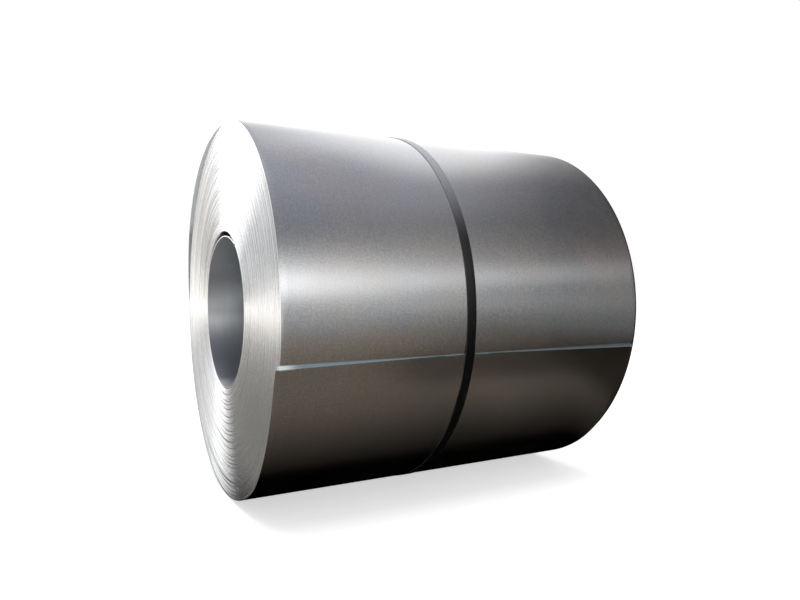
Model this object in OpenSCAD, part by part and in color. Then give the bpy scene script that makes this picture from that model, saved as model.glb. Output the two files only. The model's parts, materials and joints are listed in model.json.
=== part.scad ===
// Steel coil lying on its side: sheet strip wound on a mandrel and held by one steel strap.
// Millimetres. +X runs along the bore, +Z is up, and the strip's tail is on the -Y side.
// The origin is on the floor, under the middle of the coil.

/* [Strip] */
// Width of the strip, and so the length of the bore
strip_w = 1235; // [600:5:1600]
// Thickness of the strip
strip_t = 3; // [1:0.5:6]

/* [Winding] */
// Outside diameter of the wound coil
coil_d = 1216; // [900:2:1800]
// Diameter of the bore that the mandrel left
bore_d = 508; // [400:2:620]
// How far below the level of the axis the strip's tail ends
tail_angle = 11; // [0:0.5:40]

/* [Edges of the turns] */
// Turns that lie flush with one another before the edge steps in or out
turns_in_step = 4; // [2:1:10]
// Distance between the deepest and the proudest turn on an end
wander = 4; // [1:0.5:10]
// Change of direction of the wander from one step to the next
wander_turn = 137.5; // [90:0.5:170]

/* [Outermost turn] */
// How far the outermost turn stands out of the near end, at the back of the coil
lip_h = 13; // [2:1:40]
// Height of that lip's middle above the level of the axis, as an angle
lip_angle = 45; // [20:1:60]
// Half of the arc over which the lip stands out
lip_half_arc = 45; // [20:1:70]
// How far the tail's corner stands out of the near end
tail_h = 14; // [2:1:40]
// Arc below the tail over which its edge runs back into line
tail_arc = 45; // [20:1:80]

/* [Strap] */
// Width of the strap
strap_w = 32; // [19:1:50]
// Thickness of the strap
strap_t = 1; // [0.6:0.1:1.6]
// Distance of the strap's middle from the middle of the strip, towards the near end
strap_offset = 50; // [0:5:300]
// Clearance between the strap and the wound strip
strap_gap = 0.3; // [0.1:0.1:0.5]
// Length over which the strap's two ends overlap
overlap_l = 150; // [110:5:260]

/* [Strap seal] */
// Length of the seal along the strap
seal_l = 58; // [40:1:90]
// Wall of the seal
seal_t = 1.2; // [0.8:0.1:2]
// Clearance between the seal and the strap
seal_gap = 0.3; // [0.1:0.1:0.5]
// Height of the seal above the level of the axis, as an angle, at the back of the coil
seal_angle = 55; // [35:1:80]
// Depth of the crimp notches in the seal's sides
notch_d = 5; // [2:0.5:7]
// Distance between the two pairs of notches
notch_pitch = 26; // [16:1:34]

/* [Hidden] */
$fn = 180;

coil_r = coil_d/2;
bore_r = bore_d/2;
// The turned body ends three turns inside the coil; the outer turns are wound round it
body_r = coil_r - 3*strip_t;
steps = max(2, floor((body_r - bore_r)/(turns_in_step*strip_t)));
step_w = (body_r - bore_r)/steps;
// Every turn is the same strip, so a turn that is proud on one end is sunk on the other
edge_shift = [for (i = [0:steps - 1]) wander/2*sin(i*wander_turn)];
// Overlap that fuses solids of the coil with each other
fuse = 1;
// The outer face is a spiral of two half circles: the upper one is a little smaller and set back
upper_r = coil_r - strip_t/2;
upper_back = strip_t/2;

// Where the coil lies so that its box stands on the origin
axis_z = coil_r + strap_gap + strap_t;
axis_y = -upper_back/2*(1 + cos(tail_angle));
mid_x = (max(lip_h, tail_h) - max(edge_shift))/2;

// Carries a section drawn across the coil, x to the back and y up, into place along the bore
module across_coil() {
    translate([mid_x, axis_y, axis_z]) rotate([90, 0, 90]) children();
}

// Turns a section so that its +x axis points at the tail's edge and +y points downwards
module from_tail() {
    rotate(180 + tail_angle) children();
}

// Half plane on one side of the line from the tail's edge through the axis
module half_plane(side) {
    reach = coil_d;
    translate([-reach, side > 0 ? 0 : -reach]) square([2*reach, reach]);
}

// Section of the wound strip, grown outwards by a small amount
module wound_section(grow = 0) {
    from_tail() {
        intersection() {
            circle(coil_r + grow);
            half_plane(1);
        }
        intersection() {
            translate([-upper_back, 0]) circle(upper_r + grow);
            half_plane(-1);
        }
    }
}

// Section inside a band drawn tight: it leaves the tail's edge on a straight line to the turn below
module banded_section(grow) {
    r = upper_r + grow;
    lift_off = acos(r/(r + strip_t));
    wound_section(grow);
    from_tail() polygon([
        [-upper_back, 0],
        [coil_r + grow, 0],
        [-upper_back + r*cos(lift_off), -r*sin(lift_off)]
    ]);
}

// Inner turns as one turned body, with the edges of the turns stepped on both ends
module inner_turns() {
    near_end = [for (i = [0:steps - 1], k = [0, 1]) [bore_r + (i + k)*step_w, -strip_w/2 + edge_shift[i]]];
    far_end = [for (i = [steps - 1:-1:0], k = [1, 0]) [bore_r + (i + k)*step_w, strip_w/2 + edge_shift[i]]];
    rotate_extrude() polygon(concat(near_end, far_end));
}

// Outer turns, ending at the tail's edge
module outer_turns() {
    translate([0, 0, -strip_w/2]) linear_extrude(strip_w) difference() {
        wound_section();
        circle(body_r - fuse);
    }
}

// Stretch of the outermost turn that has slipped out of the near end by h at the angle given
module slipped_edge(h, angle, half_arc) {
    inner = coil_r*cos(half_arc);
    outer = coil_r + fuse;
    slope = h/(coil_r - inner);
    intersection() {
        translate([0, 0, -strip_w/2]) rotate(angle) rotate([-90, 0, 0]) linear_extrude(2*outer, center = true)
            polygon([[inner, -fuse], [outer, -fuse], [outer, slope*(outer - inner)], [inner, 0]]);
        translate([0, 0, -strip_w/2 - 2*h]) linear_extrude(2*h + fuse) difference() {
            wound_section();
            wound_section(-strip_t);
        }
    }
}

// Both slipped stretches: the lip at the back, and the tail below its edge
module slipped_edges() {
    slipped_edge(lip_h, lip_angle, lip_half_arc);
    intersection() {
        slipped_edge(tail_h, 180 + tail_angle, tail_arc);
        translate([0, 0, -strip_w/2 - 2*tail_h]) linear_extrude(2*tail_h + fuse) from_tail() half_plane(1);
    }
}

module coil() {
    color([0.62, 0.62, 0.64]) across_coil() difference() {
        union() {
            inner_turns();
            outer_turns();
            slipped_edges();
        }
        translate([0, 0, strip_w]) slipped_edges();
    }
}

// Carries a piece drawn over the top of the coil to the seal's place at the back, in the strap's line
module at_seal() {
    across_coil() translate([0, 0, -strap_offset])
        translate(upper_back*[cos(tail_angle), sin(tail_angle), 0])
        rotate(seal_angle) children();
}

// Stretch of a hoop about the axis, centred on +x
module hoop_stretch(inner_r, thick, width, length) {
    intersection() {
        translate([0, 0, -width/2]) linear_extrude(width) difference() {
            circle(inner_r + thick);
            circle(inner_r);
        }
        translate([inner_r, 0, 0]) cube([inner_r, length, 2*width], center = true);
    }
}

strap_inner_r = upper_r + strap_gap;
strap_top_r = strap_inner_r + 2*strap_t;

module strap() {
    color([0.07, 0.08, 0.1]) {
        across_coil() translate([0, 0, -strap_offset - strap_w/2]) linear_extrude(strap_w) difference() {
            banded_section(strap_gap + strap_t);
            banded_section(strap_gap);
        }
        at_seal() hoop_stretch(strap_inner_r, 2*strap_t, strap_w, overlap_l);
    }
}

// Folded sleeve over the doubled strap, crimped by two pairs of notches
module strap_seal() {
    inner_w = strap_w + 2*seal_gap;
    color([0.2, 0.21, 0.23]) at_seal() difference() {
        hoop_stretch(strap_inner_r, 2*strap_t + seal_gap + seal_t, inner_w + 2*seal_t, seal_l);
        translate([0, 0, -inner_w/2]) linear_extrude(inner_w) circle(strap_top_r + seal_gap);
        for (y = [-1, 1]*notch_pitch/2, side = [-1, 1])
            translate([strap_top_r, y, side*(inner_w/2 + seal_t)]) rotate([0, 90, 0])
                cylinder(d = notch_d, h = 8*strap_t, center = true);
    }
}

coil();
strap();
strap_seal();
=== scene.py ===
# Steel coil lying on its side: sheet strip wound on a mandrel, held by one strap with a crimped seal.
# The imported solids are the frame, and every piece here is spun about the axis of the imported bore.
import json
import math
import random

import bpy
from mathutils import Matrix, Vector


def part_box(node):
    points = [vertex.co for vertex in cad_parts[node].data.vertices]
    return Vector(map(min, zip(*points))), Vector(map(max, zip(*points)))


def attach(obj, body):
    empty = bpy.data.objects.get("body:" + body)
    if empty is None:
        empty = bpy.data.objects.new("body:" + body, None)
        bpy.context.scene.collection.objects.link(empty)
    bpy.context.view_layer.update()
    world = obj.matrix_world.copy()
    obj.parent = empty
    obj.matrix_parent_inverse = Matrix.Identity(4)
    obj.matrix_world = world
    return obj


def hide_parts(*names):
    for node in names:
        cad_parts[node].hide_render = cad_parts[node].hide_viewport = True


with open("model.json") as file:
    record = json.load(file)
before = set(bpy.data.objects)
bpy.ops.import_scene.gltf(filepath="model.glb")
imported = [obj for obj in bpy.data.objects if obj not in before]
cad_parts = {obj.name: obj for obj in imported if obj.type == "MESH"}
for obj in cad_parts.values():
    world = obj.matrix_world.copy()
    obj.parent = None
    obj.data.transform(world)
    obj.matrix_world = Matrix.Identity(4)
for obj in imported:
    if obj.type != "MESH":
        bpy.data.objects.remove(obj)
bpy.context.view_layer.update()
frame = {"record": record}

# Viewpoint of the photograph: a lens close to the coil, a little left of its near end and a hand's
# breadth above its axis, turned towards the far end. The bore gives the axis and the ends.
bore = frame["record"]["mounts"][0]
axis_at = Vector(bore["pos_m"])
bore_r = bore["dims"]["r_mm"] / 1000
strip_w = bore["dims"]["length_mm"] / 1000
near_x = axis_at.x - strip_w / 2
far_x = axis_at.x + strip_w / 2
coil_r = axis_at.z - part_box("coil")[0].z

camera_left_of_end = 0.493
camera_before_axis = 2.145
camera_above_axis = 0.101
camera_turn = 28.2
camera_dip = 1.87
focal_px = 646.5
picture_w_px = 800

camera_data = bpy.data.cameras.new("viewpoint")
camera_data.sensor_width = 36
camera_data.lens = camera_data.sensor_width * focal_px / picture_w_px
camera = bpy.data.objects.new("viewpoint", camera_data)
camera.location = (
    near_x - camera_left_of_end,
    axis_at.y - camera_before_axis,
    axis_at.z + camera_above_axis,
)
camera.rotation_euler = (math.radians(90 - camera_dip), 0, math.radians(-camera_turn))
bpy.context.scene.collection.objects.link(camera)
bpy.context.scene.camera = camera

# Wound turns: strip wound tight on the mandrel, one turn on the next. Each turn shows its slit edge on
# both ends, bright bare metal with corners rounded by the slitter. After every few turns the strip lay a
# little less tight, which leaves an open slot, and the turns between two slots lie in a low crown.
strip_t = 0.003
body_r = coil_r - 2 * strip_t
inner_r = bore_r + strip_t
turns = round((body_r - inner_r) / strip_t)
crest_share = 0.45
crest_fall = 0.00015
groove_depth = 0.0008
slot_depth = 0.0025
slot_w = 0.0014
turns_to_slot = (4, 5, 6, 7, 8)
crown = 0.0005
edge_scatter = 0.0002
mouth_depth = 0.006
round_steps = 128
winding = random.Random(11)

edge_steel = (0.86, 0.86, 0.855, 1)
slot_painted_shade = (0.15, 0.15, 0.15, 1)
edge_shade_angle = math.radians(24)
nicks_per_metre = 90


def section_point(x, radius):
    """Point of the section, drawn above the axis."""
    return axis_at + Vector((x - axis_at.x, 0, radius))


def draw_section(name, points, closed=True):
    """A section drawn point by point from one vertex, left selected in edit mode."""
    bpy.ops.object.select_all(action="DESELECT")
    bpy.ops.mesh.primitive_plane_add(size=strip_t, location=points[0])
    piece = bpy.context.object
    piece.name = piece.data.name = name
    bpy.ops.object.transform_apply(location=True)
    bpy.ops.object.mode_set(mode="EDIT")
    bpy.ops.mesh.select_all(action="SELECT")
    bpy.ops.mesh.merge(type="CENTER")
    for here, there in zip(points, points[1:]):
        bpy.ops.mesh.extrude_region_move(TRANSFORM_OT_translate={"value": there - here})
    if closed:
        bpy.ops.mesh.extrude_region_move(TRANSFORM_OT_translate={"value": points[0] - points[-1]})
        bpy.ops.mesh.select_all(action="SELECT")
        bpy.ops.mesh.remove_doubles(threshold=1e-6)
    bpy.ops.mesh.select_all(action="SELECT")
    return piece


def spin_section(degrees, steps, centre):
    """Carries the selected section round, from the front downwards and up at the back."""
    bpy.ops.mesh.spin(steps=steps, angle=math.radians(degrees), center=centre, axis=(-1, 0, 0))


def close_mesh(outside=True):
    """Merges doubles, turns the faces outwards and leaves edit mode."""
    bpy.ops.mesh.select_all(action="SELECT")
    bpy.ops.mesh.remove_doubles(threshold=1e-5)
    if outside:
        bpy.ops.mesh.normals_make_consistent(inside=False)
    bpy.ops.object.mode_set(mode="OBJECT")


def turn_edges(end_x, inwards):
    """Edges of all the turns on one end, from the bore outwards, each leaning a little outwards."""
    side = strip_t * (1 - crest_share) / 2
    points = [section_point(end_x + inwards * mouth_depth, inner_r)]
    turn = 0
    while turn < turns:
        together = min(winding.choice(turns_to_slot), turns - turn)
        for k in range(together):
            inner = inner_r + (turn + k) * strip_t
            proud = crown * math.sin(math.pi * (k + 0.5) / together)
            face_x = end_x - inwards * proud + winding.uniform(-edge_scatter, edge_scatter)
            if k == 0:
                points.append(section_point(end_x + inwards * slot_depth, inner))
                inner += slot_w - side
            points.append(section_point(face_x + inwards * (groove_depth if k else slot_depth), inner))
            points.append(section_point(face_x, inner + side))
            fallen_x = face_x + inwards * crest_fall
            points.append(section_point(fallen_x, inner_r + (turn + k + 1) * strip_t - side))
        turn += together
    points.append(section_point(end_x + inwards * groove_depth, inner_r + turns * strip_t))
    return points


coil_turns = draw_section("coil_turns", turn_edges(near_x, 1) + turn_edges(far_x, -1)[::-1])
spin_section(360, round_steps, axis_at)
close_mesh()
bpy.ops.object.shade_smooth_by_angle(angle=math.radians(60))
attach(coil_turns, "root")
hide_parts("coil")


def new_material(name):
    """A material with its node tree and its surface shader."""
    material = bpy.data.materials.new(name)
    material.use_nodes = True
    return material, material.node_tree, material.node_tree.nodes["Principled BSDF"]


def feed(tree, socket, value):
    """Links a socket to another one, or sets it to a constant."""
    if isinstance(value, bpy.types.NodeSocket):
        tree.links.new(value, socket)
    elif value is not None:
        socket.default_value = value


def calculate(tree, operation, first, second=None):
    """A sum on sockets or numbers."""
    node = tree.nodes.new("ShaderNodeMath")
    node.operation = operation
    feed(tree, node.inputs[0], first)
    feed(tree, node.inputs[1], second)
    return node.outputs[0]


def times(tree, first, second):
    """Product of two sockets or numbers."""
    return calculate(tree, "MULTIPLY", first, second)


def on_vector(tree, operation, first, second=None, output="Vector"):
    """A sum on a vector and three numbers."""
    node = tree.nodes.new("ShaderNodeVectorMath")
    node.operation = operation
    feed(tree, node.inputs[0], first)
    feed(tree, node.inputs[1], second)
    return node.outputs[output]


def remap(tree, source, low, high, to_low, to_high):
    """A smooth change from one value to another while the source goes from low to high."""
    node = tree.nodes.new("ShaderNodeMapRange")
    node.interpolation_type = "SMOOTHSTEP"
    for socket, value in zip(node.inputs, (source, low, high, to_low, to_high)):
        feed(tree, socket, value)
    return node.outputs["Result"]


def blend(tree, share, first, second, mode="MIX"):
    """Mixes two colours, each given as a socket or as a constant."""
    node = tree.nodes.new("ShaderNodeMix")
    node.data_type = "RGBA"
    node.blend_type = mode
    sockets = [socket for socket in node.inputs if socket.enabled]
    for socket, value in zip(sockets, (share, first, second)):
        feed(tree, socket, value)
    return next(socket for socket in node.outputs if socket.enabled)


def shade(tree, tone, by):
    """A colour made darker or lighter by a share, or tinted by another colour."""
    return blend(tree, 1.0, tone, by, "MULTIPLY")


def noise(tree, place, per_metre, detail):
    """Cloudy noise of a given fineness."""
    node = tree.nodes.new("ShaderNodeTexNoise")
    feed(tree, node.inputs["Vector"], place)
    feed(tree, node.inputs["Scale"], per_metre)
    node.inputs["Detail"].default_value = detail
    return node.outputs["Fac"]


def object_place(tree):
    """Place on the piece, and its three coordinates."""
    place = tree.nodes.new("ShaderNodeTexCoord").outputs["Object"]
    split = tree.nodes.new("ShaderNodeSeparateXYZ")
    tree.links.new(place, split.inputs[0])
    return place, split.outputs


def emboss(tree, surface, height, depth, strength):
    """Fine relief from a height between 0 and 1."""
    node = tree.nodes.new("ShaderNodeBump")
    node.inputs["Distance"].default_value = depth
    node.inputs["Strength"].default_value = strength
    tree.links.new(height, node.inputs["Height"])
    tree.links.new(node.outputs["Normal"], surface.inputs["Normal"])


# The shear marks differ from turn to turn, and each edge has fine nicks. The edges are painted darker at
# the upper front as painted shade and paler low at the back as a painted highlight, and the low slots
# at the back are painted dark as painted shade.
slit, tree, surface = new_material("slit_edges")
place, (along_bore, across, up) = object_place(tree)
spoke = on_vector(tree, "MULTIPLY", on_vector(tree, "SUBTRACT", place, axis_at), (0, 1, 1))
radius = on_vector(tree, "LENGTH", spoke, output="Value")
turn_number = calculate(tree, "DIVIDE", calculate(tree, "SUBTRACT", radius, bore_r), strip_t)
turn_number = calculate(tree, "FLOOR", turn_number)
turn_tone = tree.nodes.new("ShaderNodeTexWhiteNoise")
turn_tone.noise_dimensions = "1D"
tree.links.new(turn_number, turn_tone.inputs["W"])
nicks = noise(tree, place, nicks_per_metre, 3)
shear_and_edge_light = remap(tree, turn_tone.outputs["Value"], 0, 1, 0.94, 1.0)
shear_and_edge_light = times(tree, shear_and_edge_light, remap(tree, nicks, 0.3, 0.7, 0.95, 1.0))
# Painted shade on the edges facing the upper front, and a painted highlight on those facing low at the
# back
to_edge_shade = Vector((0, -math.cos(edge_shade_angle), math.sin(edge_shade_angle)))
edge_shade_side = on_vector(tree, "DOT_PRODUCT", on_vector(tree, "NORMALIZE", spoke), to_edge_shade, "Value")
shear_and_edge_light = times(tree, shear_and_edge_light, remap(tree, edge_shade_side, 0.945, 0.993, 1.0, 0.74))
shear_and_edge_light = times(tree, shear_and_edge_light, remap(tree, edge_shade_side, -0.95, -0.45, 1.15, 1.0))
from_middle = calculate(tree, "ABSOLUTE", calculate(tree, "SUBTRACT", along_bore, axis_at.x))
# Painted shade: the depths of the slots on the lower half, most at the back, are painted dark
slot_shade_full = strip_w / 2 - slot_depth * 0.4
slot_shade_ends = strip_w / 2 - slot_depth * 0.15
slot_shade = remap(tree, from_middle, slot_shade_full, slot_shade_ends, 1.0, 0.0)
slot_shade = times(tree, slot_shade, remap(tree, up, axis_at.z - 0.15, axis_at.z + 0.05, 1.0, 0.0))
slot_shade = times(tree, slot_shade, calculate(tree, "LESS_THAN", radius, body_r - strip_t))
slot_shade = times(tree, slot_shade, remap(tree, across, axis_at.y - 0.10, axis_at.y + 0.06, 0.3, 1.0))
tone = blend(tree, slot_shade, shade(tree, edge_steel, shear_and_edge_light), slot_painted_shade)
tree.links.new(tone, surface.inputs["Base Color"])
surface.inputs["Metallic"].default_value = 1
tree.links.new(remap(tree, nicks, 0.3, 0.7, 0.17, 0.24), surface.inputs["Roughness"])
emboss(tree, surface, nicks, depth=0.0002, strength=0.05)
coil_turns.data.materials.append(slit)

# Innermost turn: the head of the strip, no longer gripped by the mandrel. It lies on the turns round
# it, but has come away from them at the top of the bore and hangs down a little. Its face carries a
# painted reflection, a dull band between two paler ones, and oil has gathered along the bottom.
head_angle = 124
head_slit = 2
head_steps = 144
head_columns = 4
sag = 0.016
sag_middle = math.radians(84)
sag_half_arc = math.radians(46)
slit_edge = 0.0006

rubbed_steel = (0.71, 0.73, 0.75, 1)
oily_steel = (0.23, 0.24, 0.265, 1)
mouth_glow_tone = (0.62, 0.64, 0.65, 1)
oil_angle = math.radians(-75)
band_reflection_dip = 0.82


def spoke_at(angle):
    """Direction from the axis at an angle above the level of the axis, counted from the back."""
    return Vector((0, math.cos(angle), math.sin(angle)))


def arc_dip(angle, middle, half_arc):
    """1 at the middle of an arc, falling to 0 at its ends, as a slanted cut through a ring does."""
    away = abs(angle - middle)
    return 0 if away > half_arc else (math.cos(away) - math.cos(half_arc)) / (1 - math.cos(half_arc))


def round_edges(piece, width):
    """Rounds the sharp edges of a piece."""
    edge = piece.modifiers.new("edge", "BEVEL")
    edge.width = width
    edge.segments = 2
    edge.limit_method = "ANGLE"
    edge.angle_limit = math.radians(60)
    bpy.ops.object.modifier_apply(modifier=edge.name)


def make_sheet(piece, inside):
    """Gives a spun surface the strip's thickness, on one side, and rounds its slit edges."""
    bpy.ops.object.mode_set(mode="EDIT")
    bpy.ops.mesh.select_all(action="SELECT")
    bpy.ops.mesh.normals_make_consistent(inside=inside)
    bpy.ops.object.mode_set(mode="OBJECT")
    sheet = piece.modifiers.new("sheet", "SOLIDIFY")
    sheet.thickness = strip_t
    sheet.offset = -1
    bpy.ops.object.modifier_apply(modifier=sheet.name)
    round_edges(piece, slit_edge)
    bpy.ops.object.shade_smooth_by_angle(angle=math.radians(40))


def line_along_bore(spoke, radius, columns):
    """Points of a straight line from the near end to the far end, on a spoke from the axis."""
    start = Vector((near_x, axis_at.y, axis_at.z)) + spoke * radius
    return [start + Vector((strip_w * k / columns, 0, 0)) for k in range(columns + 1)]


head_spoke = spoke_at(math.radians(head_angle + head_slit))
inner_turn = draw_section("inner_turn", line_along_bore(head_spoke, bore_r, head_columns), closed=False)
spin_section(360 - head_slit, head_steps, axis_at)
close_mesh(outside=False)
for vertex in inner_turn.data.vertices:
    spoke = Vector((0, vertex.co.y - axis_at.y, vertex.co.z - axis_at.z))
    height = math.atan2(spoke.z, spoke.y)
    vertex.co -= spoke.normalized() * sag * arc_dip(height, sag_middle, sag_half_arc)
make_sheet(inner_turn, True)
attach(inner_turn, "root")
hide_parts("coil")

# Grain of a strip: fine lines that run round the coil, flecks, and broad faint patches.
strip_grain = bpy.data.node_groups.new("strip_grain", "ShaderNodeTree")
strip_grain.interface.new_socket("Place", in_out="INPUT", socket_type="NodeSocketVector")
for grain_size in ("Lines per Metre", "Flecks per Metre", "Patches per Metre"):
    strip_grain.interface.new_socket(grain_size, in_out="INPUT", socket_type="NodeSocketFloat")
for grain_mask in ("Lines", "Flecks", "Patches"):
    strip_grain.interface.new_socket(grain_mask, in_out="OUTPUT", socket_type="NodeSocketFloat")
given = strip_grain.nodes.new("NodeGroupInput").outputs
result = strip_grain.nodes.new("NodeGroupOutput").inputs
drawn_out = on_vector(strip_grain, "MULTIPLY", given["Place"], (1, 0.02, 0.02))
strip_grain.links.new(noise(strip_grain, drawn_out, given["Lines per Metre"], 3), result["Lines"])
strip_grain.links.new(noise(strip_grain, given["Place"], given["Flecks per Metre"], 2), result["Flecks"])
strip_grain.links.new(noise(strip_grain, given["Place"], given["Patches per Metre"], 4), result["Patches"])


def add_grain(tree, place, lines, flecks, patches):
    """Puts the strip's grain in a material, with its own sizes, and returns its three masks."""
    node = tree.nodes.new("ShaderNodeGroup")
    node.node_tree = strip_grain
    tree.links.new(place, node.inputs["Place"])
    node.inputs["Lines per Metre"].default_value = lines
    node.inputs["Flecks per Metre"].default_value = flecks
    node.inputs["Patches per Metre"].default_value = patches
    return node.outputs["Lines"], node.outputs["Flecks"], node.outputs["Patches"]


# The underside of the outermost turn has this finish too, and is less metallic high up.
rubbed, tree, surface = new_material("mandrel_rubbed_steel")
place, (along_bore, _, up) = object_place(tree)
lines, flecks, patches = add_grain(tree, place, lines=260, flecks=140, patches=9)
from_axis = on_vector(tree, "SUBTRACT", place, axis_at)
oiled = on_vector(tree, "DOT_PRODUCT", from_axis, spoke_at(oil_angle) / bore_r, "Value")
tone = blend(tree, remap(tree, oiled, 0.35, 0.9, 0.0, 1.0), rubbed_steel, oily_steel)
tone = shade(tree, tone, remap(tree, lines, 0.3, 0.7, 0.96, 1.02))
# Painted shade: the bore is darker deeper in from its near mouth
tone = shade(tree, tone, remap(tree, along_bore, near_x, near_x + 0.7, 1.0, 0.72))
# Painted reflection: paler bands high and low in the bore, with a dull band between them
above_band = remap(tree, up, axis_at.z + 0.09, axis_at.z + 0.19, band_reflection_dip, 1.32)
below_band = remap(tree, up, axis_at.z - 0.06, axis_at.z - 0.01, 1.15, band_reflection_dip)
tone = shade(tree, tone, calculate(tree, "MAXIMUM", above_band, below_band))
# Painted light: the bottom of the bore is paler close to its near mouth
bottom = axis_at.z - bore_r
mouth_glow = remap(tree, along_bore, near_x + 0.01, near_x + 0.09, 1.0, 0.0)
mouth_glow = times(tree, mouth_glow, remap(tree, up, bottom + 0.002, bottom + 0.02, 1.0, 0.0))
tree.links.new(blend(tree, mouth_glow, tone, mouth_glow_tone), surface.inputs["Base Color"])
tree.links.new(remap(tree, up, axis_at.z + 0.27, axis_at.z + 0.33, 1.0, 0.4), surface.inputs["Metallic"])
tree.links.new(remap(tree, patches, 0.3, 0.7, 0.36, 0.46), surface.inputs["Roughness"])
emboss(tree, surface, calculate(tree, "ADD", lines, flecks), depth=0.0001, strength=0.2)


def finish_sheet(piece, outer, inner):
    """Gives a sheet the finishes of its two faces, and bare metal on its slit edges."""
    for finish in (outer, inner, slit):
        piece.data.materials.append(finish)
    for face in piece.data.polygons:
        spoke = Vector((0, face.center.y - axis_at.y, face.center.z - axis_at.z))
        looks_out = face.normal.dot(spoke) > 0
        face.material_index = 2 if abs(face.normal.x) > 0.6 else 0 if looks_out else 1


finish_sheet(inner_turn, rubbed, rubbed)

# Outermost turn: the last length of the strip, one sheet thick. It has slipped out of line at its tail
# and at the back. Away from the strap its tail has sprung straight, and its very end is bent in again.
# It is cold-rolled steel, satin from the rolls, with a painted highlight along its tail and painted shade
# along its far edge.
tail_degrees = 11
tail_angle = math.radians(tail_degrees)
tail_slip = 0.014
tail_slip_arc = math.radians(45)
lip_slip = 0.013
lip_degrees = 45
lip_middle = math.radians(180 - tail_degrees + lip_degrees)
lip_half_arc = math.radians(45)
underlap = 60
end_arc = 3
end_steps = 14
wrap_columns = 64
half_steps = 96
strap_offset = 0.050
strap_x = axis_at.x - strap_offset
spring_near = 0.008
spring_far = 0.009
bend_rows = 4
least_bend = 0.0004
held_share = 0.06
same_angle = 1e-4

cool_steel = (0.59, 0.60, 0.615, 1)
warm_steel = (0.625, 0.605, 0.595, 1)
lap_glint_w = 0.012
lap_glint_tone = (0.54, 0.67, 0.70, 1)
tip_glint_tone = (0.84, 0.95, 0.95, 1)
far_edge_shade_w = 0.007
far_edge_shade_tone = (0.05, 0.05, 0.05, 1)

to_tail = Vector((0, -math.cos(tail_angle), -math.sin(tail_angle)))
upper_centre = axis_at - to_tail * strip_t / 2
upper_r = coil_r - strip_t / 2

outer_turn = draw_section("outer_turn", line_along_bore(to_tail, coil_r, wrap_columns), closed=False)
spin_section(end_arc, end_steps, axis_at)
spin_section(180 - end_arc, half_steps, axis_at)
spin_section(180, half_steps, upper_centre)
spin_section(underlap, half_steps * underlap // 180, axis_at)
close_mesh(outside=False)


def tail_rise(x):
    """How far the tail has sprung off the turn below it, at a place along the bore."""
    reach, spring = (near_x, spring_near) if x < strap_x else (far_x, spring_far)
    return spring * max(0.0, (x - strap_x) / (reach - strap_x) - held_share) / (1 - held_share)


def sprung_tail(x, angle):
    """Angle and height of a point of the sprung tail: bent in as far as it has risen, then straight."""
    rise = tail_rise(x)
    bend = max(rise, least_bend)
    along = angle * coil_r
    row = round(math.degrees(angle) / end_arc * end_steps)
    if row <= bend_rows:
        along = bend * row / bend_rows
    elif row < end_steps:
        straight = math.radians(end_arc) * coil_r - bend
        along = bend + straight * (row - bend_rows) / (end_steps - bend_rows)
    left = max(0.0, math.sqrt(2 * coil_r * rise) - along)
    return along / coil_r, left * left / (2 * coil_r) * min(1.0, along / bend)


for vertex in outer_turn.data.vertices:
    spoke = Vector((0, vertex.co.y - axis_at.y, vertex.co.z - axis_at.z))
    angle = (math.atan2(spoke.z, spoke.y) - math.pi - tail_angle) % (2 * math.pi)
    if angle > 2 * math.pi - same_angle:
        angle = 0
    near_tail = angle < math.radians(underlap + 1)
    if near_tail and spoke.length < coil_r - strip_t / 2:
        continue
    if near_tail:
        angle, height = sprung_tail(vertex.co.x, angle)
        spoke = spoke_at(math.pi + tail_angle + angle) * (coil_r + height)
        vertex.co = Vector((vertex.co.x, axis_at.y, axis_at.z)) + spoke
    vertex.co.x -= tail_slip * arc_dip(angle, 0, tail_slip_arc)
    vertex.co.x -= lip_slip * arc_dip(angle, lip_middle, lip_half_arc)
make_sheet(outer_turn, False)
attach(outer_turn, "root")
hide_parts("coil")

# The rolled face has cool and warm patches. Below the tail's edge runs a painted bluish highlight, paler
# and less metallic at the near corner, and the far edge carries a dark line of painted shade.
rolled, tree, surface = new_material("rolled_steel")
place, (along_bore, across, _) = object_place(tree)
lines, flecks, patches = add_grain(tree, place, lines=330, flecks=230, patches=6)
tone = blend(tree, remap(tree, patches, 0.35, 0.65, 0.0, 1.0), cool_steel, warm_steel)
tone = shade(tree, tone, remap(tree, lines, 0.3, 0.7, 0.975, 1.01))
tone = shade(tree, tone, remap(tree, flecks, 0.3, 0.7, 0.91, 1.06))
below_edge = Vector((0, math.sin(tail_angle), -math.cos(tail_angle)))
from_axis = on_vector(tree, "SUBTRACT", place, axis_at)
from_edge = on_vector(tree, "DOT_PRODUCT", from_axis, below_edge, "Value")
# Painted highlight: a bluish band just below the tail's edge, paler and less metallic at the near corner
lap_glint = remap(tree, from_edge, lap_glint_w / 2, lap_glint_w, 1.0, 0.0)
lap_glint = times(tree, lap_glint, calculate(tree, "GREATER_THAN", from_edge, -strip_t / 10))
lap_glint = times(tree, lap_glint, calculate(tree, "LESS_THAN", across, axis_at.y))
tip_glint = remap(tree, along_bore, near_x, near_x + 0.06, 1.0, 0.0)
tip_glint = times(tree, tip_glint, remap(tree, along_bore, near_x - tail_slip, near_x, 0.3, 1.0))
tone = blend(tree, lap_glint, tone, blend(tree, tip_glint, lap_glint_tone, tip_glint_tone))
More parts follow.
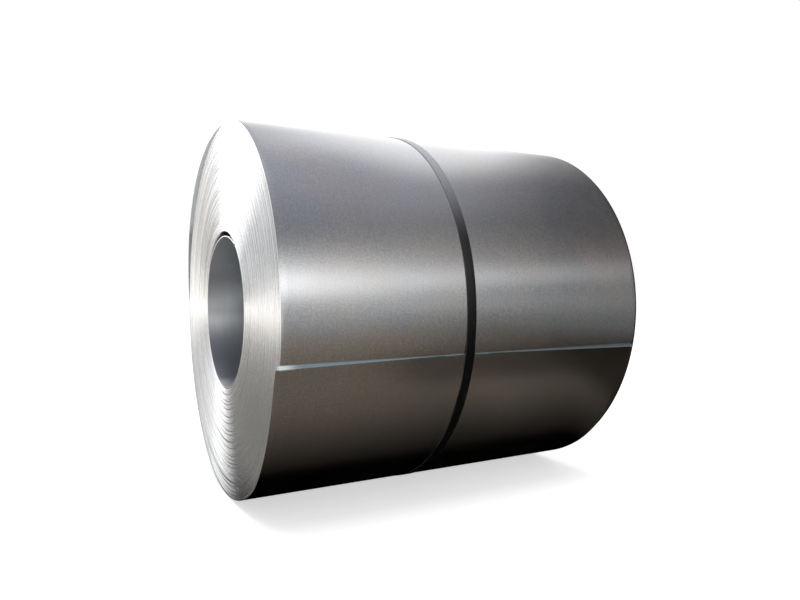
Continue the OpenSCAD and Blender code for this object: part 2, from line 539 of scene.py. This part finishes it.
# Painted shade: a dark line along the far edge
far_edge_shade = remap(tree, along_bore, far_x - far_edge_shade_w, far_x - far_edge_shade_w / 2, 0.0, 1.0)
tree.links.new(blend(tree, far_edge_shade, tone, far_edge_shade_tone), surface.inputs["Base Color"])
tip_glint_share = times(tree, lap_glint, tip_glint)
tree.links.new(remap(tree, tip_glint_share, 0.0, 1.0, 1.0, 0.4), surface.inputs["Metallic"])
rolled_sheen = remap(tree, patches, 0.35, 0.65, 0.215, 0.25)
rolled_sheen = calculate(tree, "ADD", rolled_sheen, remap(tree, flecks, 0.3, 0.7, -0.02, 0.02))
tree.links.new(rolled_sheen, surface.inputs["Roughness"])
emboss(tree, surface, calculate(tree, "ADD", lines, flecks), depth=0.0001, strength=0.12)
finish_sheet(outer_turn, rolled, rubbed)

# Strap: steel band with a black wax finish, drawn tight round the middle of the coil over the tail. It
# lies on the strip all the way, and leaves the tail's edge on a straight line to the turn below. The wax
# is painted paler towards its top as painted light and highlight, scuffed along its length, and worn to
# bare metal along its edges.
strap_w = 0.032
strap_t = 0.001
strap_gap = 0.0003
strap_edge = 0.0002

black_wax = (0.001, 0.0012, 0.002, 1)
thin_wax = (0.002, 0.0023, 0.003, 1)
upper_light_wax = (0.019, 0.0195, 0.021, 1)
top_highlight_tone = (0.335, 0.338, 0.365, 1)
scuff_tone = (0.05, 0.052, 0.056, 1)
bare_steel = (0.30, 0.30, 0.31, 1)
edge_wear = 0.0012


def band_section(centre, spoke, inner, thick, width):
    """Corners of a flat band's section, standing on a spoke from the centre."""
    middle = Vector((strap_x, centre.y, centre.z))
    side = Vector((width / 2, 0, 0))
    low = middle + spoke * inner
    high = middle + spoke * (inner + thick)
    return [low - side, low + side, high + side, high - side]


def finish_band(piece):
    """Rounds the edges of a band and shades its long faces smooth."""
    round_edges(piece, strap_edge)
    bpy.ops.object.shade_smooth_by_angle(angle=math.radians(50))


lift_off = math.degrees(math.acos((upper_r + strap_gap) / (upper_r + strap_gap + strip_t)))
strap = draw_section("strap_band", band_section(axis_at, to_tail, coil_r + strap_gap, strap_t, strap_w))
spin_section(180, half_steps, axis_at)
spin_section(180 - lift_off, half_steps, upper_centre)
bpy.ops.object.mode_set(mode="OBJECT")
bpy.ops.object.mode_set(mode="EDIT")
bpy.ops.mesh.select_all(action="DESELECT")
bpy.ops.mesh.select_non_manifold()
bpy.ops.mesh.bridge_edge_loops()
close_mesh()
finish_band(strap)
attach(strap, "root")
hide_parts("strap")


def from_strap_middle(tree, along_bore):
    """Distance from the middle of the strap's width."""
    return calculate(tree, "ABSOLUTE", calculate(tree, "SUBTRACT", along_bore, strap_x))


waxed, tree, surface = new_material("waxed_strap")
place, (along_bore, _, up) = object_place(tree)
lines, flecks, patches = add_grain(tree, place, lines=900, flecks=320, patches=14)
tone = blend(tree, remap(tree, patches, 0.3, 0.7, 0.0, 1.0), black_wax, thin_wax)
# Painted light: the wax is paler high up
tone = blend(tree, remap(tree, up, axis_at.z - 0.1, axis_at.z + 0.2, 0.0, 1.0), tone, upper_light_wax)
# Painted highlight: the strap's top turns pale grey
top_highlight = remap(tree, up, axis_at.z + 0.2, axis_at.z + 0.55, 0.0, 1.0)
top_highlight = times(tree, top_highlight, remap(tree, flecks, 0.3, 0.7, 0.85, 1.0))
tone = blend(tree, top_highlight, tone, top_highlight_tone)
tone = blend(tree, remap(tree, lines, 0.60, 0.70, 0.0, 0.5), tone, scuff_tone)
worn = remap(tree, from_strap_middle(tree, along_bore), strap_w / 2 - edge_wear, strap_w / 2, 0.0, 0.45)
worn = times(tree, worn, remap(tree, patches, 0.40, 0.55, 0.3, 1.0))
tree.links.new(blend(tree, worn, tone, bare_steel), surface.inputs["Base Color"])
tree.links.new(times(tree, worn, 0.8), surface.inputs["Metallic"])
tree.links.new(remap(tree, flecks, 0.3, 0.7, 0.32, 0.44), surface.inputs["Roughness"])
surface.inputs["Specular IOR Level"].default_value = 0.2
emboss(tree, surface, calculate(tree, "ADD", lines, patches), depth=0.0002, strength=0.2)
strap.data.materials.append(waxed)

# Free end of the strap and its seal: the two ends overlap at the back of the coil, and a folded
# steel sleeve is crimped round both by two pairs of notches. The sleeve is dark bare steel, brighter
# where the crimper's jaws have pressed it.
seal_angle = math.radians(55)
overlap_l = 0.150
overlap_steps = 24
seal_l = 0.058
seal_t = 0.0012
seal_gap = 0.0003
seal_steps = 48
notch_pitch = 0.026
notch_depth = 0.004
notch_reach = 0.006

dark_seal = (0.10, 0.105, 0.115, 1)
pale_seal = (0.16, 0.165, 0.175, 1)
pressed_steel = (0.36, 0.36, 0.37, 1)

strap_inner = upper_r + strap_gap


def spin_stretch(name, section, arc, steps):
    """A stretch of the hoop at the seal: a section carried through an arc, with both its ends closed."""
    piece = draw_section(name, section)
    spin_section(math.degrees(arc), steps, upper_centre)
    bpy.ops.mesh.select_all(action="SELECT")
    bpy.ops.mesh.fill_holes(sides=0)
    close_mesh()
    return piece


overlap_arc = overlap_l / strap_inner
first_spoke = spoke_at(seal_angle - overlap_arc / 2)
free_end = band_section(upper_centre, first_spoke, strap_inner + strap_t, strap_t, strap_w)
overlap = spin_stretch("strap_overlap", free_end, overlap_arc, overlap_steps)
finish_band(overlap)
overlap.data.materials.append(waxed)
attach(overlap, "root")
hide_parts("strap")

seal_arc = seal_l / strap_inner
first_spoke = spoke_at(seal_angle - seal_arc / 2)
hollow_t = 2 * strap_t + seal_gap
hollow_w = strap_w + 2 * seal_gap
sleeve_in = band_section(upper_centre, first_spoke, strap_inner, hollow_t, hollow_w)
sleeve_out = band_section(upper_centre, first_spoke, strap_inner, hollow_t + seal_t, hollow_w + 2 * seal_t)
sleeve = [*sleeve_out[1:], sleeve_out[0], sleeve_in[0], *sleeve_in[:0:-1]]
seal = spin_stretch("seal_sleeve", sleeve, seal_arc, seal_steps)
for vertex in seal.data.vertices:
    spoke = Vector((0, vertex.co.y - upper_centre.y, vertex.co.z - upper_centre.z))
    along = (math.atan2(spoke.z, spoke.y) - seal_angle) * strap_inner
    away = min(abs(along - notch_pitch / 2), abs(along + notch_pitch / 2)) / notch_reach
    if away < 1:
        vertex.co.x -= math.copysign(notch_depth * (1 - away * away), vertex.co.x - strap_x)
finish_band(seal)
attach(seal, "root")
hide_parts("strap_seal")

crimped, tree, surface = new_material("crimped_seal")
place, (along_bore, _, _) = object_place(tree)
lines, flecks, patches = add_grain(tree, place, lines=700, flecks=420, patches=40)
tone = blend(tree, remap(tree, patches, 0.3, 0.7, 0.0, 1.0), dark_seal, pale_seal)
tone = blend(tree, remap(tree, flecks, 0.58, 0.70, 0.0, 0.6), tone, bare_steel)
from_middle = from_strap_middle(tree, along_bore)
pressed = remap(tree, from_middle, strap_w / 2 - notch_depth, strap_w / 2, 0.0, 0.6)
tree.links.new(blend(tree, pressed, tone, pressed_steel), surface.inputs["Base Color"])
surface.inputs["Metallic"].default_value = 0.8
tree.links.new(remap(tree, lines, 0.3, 0.7, 0.30, 0.45), surface.inputs["Roughness"])
emboss(tree, surface, calculate(tree, "ADD", flecks, patches), depth=0.0002, strength=0.25)
seal.data.materials.append(crimped)

# Studio: a pale floor that runs out into a white background, and one wide soft lamp overhead. What
# the metal mirrors is a plain hall: a dim floor near the coil, a strip of windows, a white ceiling.
fill_strength = 0.55
hall_peak = 1.6
plain = (1, 1, 1, 1)
low_wall = (1.0, 1.005, 1.0, 1)
high_wall = (0.95, 0.965, 1.09, 1)
warm_glow = (1.16, 0.97, 0.97, 1)
back_tint = (0.99, 1.0, 1.02)
wall_tones = [
    (0.00, 0.38), (0.15, 0.29), (0.35, 0.24), (0.55, 0.20), (0.72, 0.19), (0.84, 0.22), (0.92, 0.27),
    (0.97, 0.33), (1.00, 0.42),
]
window_tones = [(0.08, 0), (0.15, 0.55), (0.22, 0.98), (0.33, 0.98), (0.40, 0.5), (0.52, 0.18), (0.64, 0)]
far_window_tones = [(0.15, 0), (0.23, 1.3), (0.30, 1.3), (0.37, 0.3), (0.50, 0.1), (0.64, 0)]
window_reach = [(0.30, 1.0), (0.375, 0.67), (0.49, 0.36), (0.60, 0.24), (0.75, 0.10)]
back_tones = [
    (0.00, 0.90), (0.02, 0.46), (0.045, 0.34), (0.07, 0.44), (0.10, 0.64), (0.14, 0.86), (0.20, 1.0),
    (0.40, 1.0), (0.65, 0.80), (1.00, 0.62),
]

studio = bpy.data.worlds.new("studio")
bpy.context.scene.world = studio
studio.use_nodes = True
studio.cycles.sampling_method = "NONE"
hall = studio.node_tree
fill = hall.nodes["Background"]
fill.inputs["Color"].default_value = plain
fill.inputs["Strength"].default_value = fill_strength
split = hall.nodes.new("ShaderNodeSeparateXYZ")
hall.links.new(hall.nodes.new("ShaderNodeTexCoord").outputs["Generated"], split.inputs[0])
to_far_end, to_back, to_sky = split.outputs


def ramp(tree, source, reach, tones, tint=(1, 1, 1)):
    """A ramp of tones of one tint, listed at places from 0 to its reach."""
    node = tree.nodes.new("ShaderNodeValToRGB")
    elements = node.color_ramp.elements
    while len(elements) < len(tones):
        elements.new(0.5)
    for element, (place, tone) in zip(elements, tones):
        element.position = place / reach
        element.color = (*(tone * share for share in tint), 1)
    feed(tree, node.inputs["Fac"], calculate(tree, "DIVIDE", source, reach))
    return node.outputs["Color"]


def choose(tree, share, first, second):
    """One shader or another, by a light path."""
    node = tree.nodes.new("ShaderNodeMixShader")
    for socket, source in zip(node.inputs, (share, first, second)):
        tree.links.new(source, socket)
    return node.outputs[0]


# The front wall, grey low down and bluish high up, with a warm glow over the far windows
wall_tint = blend(hall, remap(hall, to_sky, 0.50, 0.85, 0.0, 1.0), low_wall, high_wall)
wall = shade(hall, ramp(hall, to_sky, 1.0, wall_tones), wall_tint)
wall = shade(hall, wall, remap(hall, to_far_end, 0.50, 0.73, 1.0, 0.24))
glow = times(hall, remap(hall, to_sky, 0.25, 0.36, 0.0, 1.0), remap(hall, to_sky, 0.45, 0.7, 1.0, 0.0))
glow = times(hall, glow, remap(hall, to_far_end, 0.52, 0.68, 0.0, 1.0))
wall = shade(hall, wall, blend(hall, glow, plain, warm_glow))

# Its strip of windows, which narrows and dims towards the far end
raised = calculate(hall, "SUBTRACT", to_sky, remap(hall, to_far_end, 0.40, 0.55, 0.0, 0.02))
far_window = ramp(hall, raised, 1.0, far_window_tones)
narrowing = remap(hall, to_far_end, 0.40, 0.58, 0.0, 1.0)
window = blend(hall, narrowing, ramp(hall, raised, 1.0, window_tones), far_window)
window = shade(hall, window, ramp(hall, to_far_end, 1.0, window_reach))
window = shade(hall, window, remap(hall, to_far_end, -0.5, 0.0, 0.1, 1.0))

# Light on the horizon before the near end, on the far sill, and from a faint skylight
horizon = remap(hall, to_sky, 0.0, 0.05, 0.9, 0.0)
horizon = times(hall, horizon, remap(hall, to_far_end, -0.5, -0.3, 1.0, 0.0))
far_sill = remap(hall, to_sky, 0.08, 0.24, 0.07, 0.0)
far_sill = times(hall, far_sill, remap(hall, to_far_end, 0.52, 0.70, 0.0, 1.0))
skylight = remap(hall, to_far_end, 0.40, 0.50, 0.0, 0.06)
skylight = times(hall, skylight, remap(hall, to_far_end, 0.59, 0.66, 1.0, 0.0))
skylight = times(hall, skylight, remap(hall, to_sky, 0.70, 0.84, 0.0, 1.0))
front = wall
for light in (window, horizon, far_sill, skylight):
    front = blend(hall, 1.0, front, light, "ADD")

# The white back of the hall, which leans over the coil and reaches round to its near end
leaning = calculate(hall, "ADD", to_back, remap(hall, to_far_end, 0.36, 0.50, 0.0, 0.20))
leaning = calculate(hall, "SUBTRACT", leaning, remap(hall, to_far_end, 0.53, 0.63, 0.0, 0.16))
leaning = calculate(hall, "ADD", leaning, remap(hall, to_far_end, 0.20, 0.40, 0.10, 0.0))
behind = remap(hall, leaning, 0.08, 0.6, 0.0, 1.0)
behind = times(hall, behind, remap(hall, to_far_end, 0.20, 0.46, 0.4, 1.0))
left = remap(hall, to_back, 0.38, 0.62, 0.0, 1.0)
left = times(hall, left, remap(hall, to_far_end, -0.12, 0.15, 1.0, 0.0))
over_back = times(hall, behind, remap(hall, to_sky, 0.15, 0.35, 0.0, 1.0))
over_back = times(hall, over_back, remap(hall, to_far_end, 0.54, 0.66, 1.0, 0.1))
pale = ramp(hall, to_sky, 1.0, back_tones, back_tint)
pale = shade(hall, pale, remap(hall, to_far_end, -0.68, -0.42, 0.75, 1.5))
pale = shade(hall, pale, remap(hall, to_far_end, 0.0, 0.15, 1.0, 0.67))
surroundings = blend(hall, calculate(hall, "MAXIMUM", left, over_back), front, pale)

mirrored = hall.nodes.new("ShaderNodeBackground")
mirrored.inputs["Strength"].default_value = hall_peak
hall.links.new(surroundings, mirrored.inputs["Color"])
white = hall.nodes.new("ShaderNodeBackground")
white.inputs["Color"].default_value = plain
path = hall.nodes.new("ShaderNodeLightPath").outputs
seen = choose(hall, path["Is Camera Ray"], fill.outputs[0], white.outputs[0])
seen = choose(hall, path["Is Transmission Ray"], seen, white.outputs[0])
seen = choose(hall, path["Is Glossy Ray"], seen, mirrored.outputs[0])
hall.links.new(seen, hall.nodes["World Output"].inputs["Surface"])

# Floor: pale and matt, and lifted to white where it is seen. The metal mirrors it with a painted shadow,
# dim and warm close to the coil and paler further out, with a dark patch and a painted lit aisle before
# the far half of the coil.
floor_w = 80
floor_drop = 0.002
floor_lift = 0.6
floor_pale = (0.86, 0.86, 0.86, 1)
floor_near = (1.18, 1.0, 0.80, 1)
floor_far = (0.98, 1.0, 0.99, 1)
floor_behind = (1.03, 1.0, 0.96)
unlit = (0, 0, 0, 1)
half_coil = 0.6
end_stretch = 1.8
aside_lean = 0.4
aside_share = 0.29
front_reach = 6.0
front_tones = [
    (0.35, 0.0), (0.45, 0.025), (0.55, 0.055), (0.65, 0.09), (0.75, 0.12), (0.95, 0.15), (1.4, 0.17),
    (1.7, 0.19), (2.1, 0.22), (3.1, 0.29), (5.4, 0.42), (6.0, 0.45),
]
back_reach = 12.0
back_floor_tones = [
    (0.0, 0.24), (1.0, 0.26), (2.0, 0.32), (3.0, 0.44), (4.0, 0.61), (5.0, 0.86), (6.0, 1.08),
    (8.0, 1.26), (12.0, 1.4),
]

bpy.ops.object.select_all(action="DESELECT")
bpy.ops.mesh.primitive_plane_add(size=floor_w, location=(0, 0, -floor_drop))
floor = bpy.context.object
floor.name = "floor"
pale_floor, tree, surface = new_material("pale_floor")
surface.inputs["Base Color"].default_value = floor_pale
surface.inputs["Roughness"].default_value = 0.9
surface.inputs["Specular IOR Level"].default_value = 0
place, (along_bore, across, _) = object_place(tree)

past_end = calculate(tree, "SUBTRACT", calculate(tree, "ABSOLUTE", along_bore), half_coil)
past_end = times(tree, calculate(tree, "MAXIMUM", past_end, 0), end_stretch)
squares = times(tree, past_end, past_end)
squares = calculate(tree, "ADD", squares, times(tree, across, across))
from_axis = calculate(tree, "SQRT", squares)
# Painted shadow: the floor as mirrored is dim close to the coil and paler further out
tint = blend(tree, remap(tree, from_axis, 1.6, 4.0, 0.0, 1.0), floor_near, floor_far)
dim = shade(tree, ramp(tree, from_axis, front_reach, front_tones), tint)
aside = calculate(tree, "SUBTRACT", along_bore, times(tree, from_axis, aside_lean))
near_share = remap(tree, aside, -0.75, 0.75, 1.0, aside_share)
far_share = remap(tree, from_axis, 2.0, 5.0, aside_share, 0.5)
dim = shade(tree, dim, calculate(tree, "MAXIMUM", near_share, far_share))
dark_patch = remap(tree, across, -1.75, -1.3, 0.0, 1.0)
dark_patch = times(tree, dark_patch, remap(tree, across, -1.05, -0.85, 1.0, 0.0))
dark_patch = times(tree, dark_patch, remap(tree, along_bore, -0.1, 0.3, 0.0, 0.6))
dim = blend(tree, dark_patch, dim, unlit)
far_corner = remap(tree, along_bore, 2.75, 3.25, 0.0, 0.32)
far_corner = times(tree, far_corner, remap(tree, across, -6.0, -4.2, 0.0, 1.0))
dim = blend(tree, far_corner, dim, unlit)
lit_aisle = remap(tree, along_bore, 0.15, 0.45, 1.0, 1.6)
lit_aisle = times(tree, lit_aisle, remap(tree, along_bore, 0.78, 1.0, 1.0, 0.27))
close_by = remap(tree, across, -1.35, -1.05, 0.0, 1.0)
dim = blend(tree, close_by, dim, shade(tree, dim, lit_aisle))
from_end = on_vector(tree, "LENGTH", on_vector(tree, "SUBTRACT", place, (near_x, 0, 0)), output="Value")
back = ramp(tree, from_end, back_reach, back_floor_tones, floor_behind)
back = shade(tree, back, remap(tree, across, 0.0, 2.5, 0.95, 1.03))
to_the_back = remap(tree, across, 0.5, 1.0, 0.0, 1.0)
to_the_left = remap(tree, along_bore, -0.74, -0.61, 1.0, 0.0)
dim = blend(tree, calculate(tree, "MAXIMUM", to_the_back, to_the_left), dim, back)

lift = tree.nodes.new("ShaderNodeEmission")
lift.inputs["Strength"].default_value = floor_lift
lifted = tree.nodes.new("ShaderNodeAddShader")
tree.links.new(surface.outputs[0], lifted.inputs[0])
tree.links.new(lift.outputs[0], lifted.inputs[1])
mirrored = tree.nodes.new("ShaderNodeEmission")
tree.links.new(dim, mirrored.inputs["Color"])
path = tree.nodes.new("ShaderNodeLightPath").outputs
seen = choose(tree, path["Is Camera Ray"], surface.outputs[0], lifted.outputs[0])
seen = choose(tree, path["Is Glossy Ray"], seen, mirrored.outputs[0])
tree.links.new(seen, tree.nodes["Material Output"].inputs["Surface"])
floor.data.materials.append(pale_floor)

# Lamp: one wide soft disk overhead, a little towards the viewer and the near end. The metal doesn't
# mirror it, because the hall stands for what is mirrored.
lamp_data = bpy.data.lights.new("overhead", "AREA")
lamp_data.shape = "DISK"
lamp_data.size = 4
lamp_data.energy = 160
lamp = bpy.data.objects.new("overhead", lamp_data)
lamp.location = (-0.8, -1.0, 4.5)
lamp.visible_glossy = False
bpy.context.scene.collection.objects.link(lamp)

bpy.context.scene.view_settings.view_transform = "Standard"
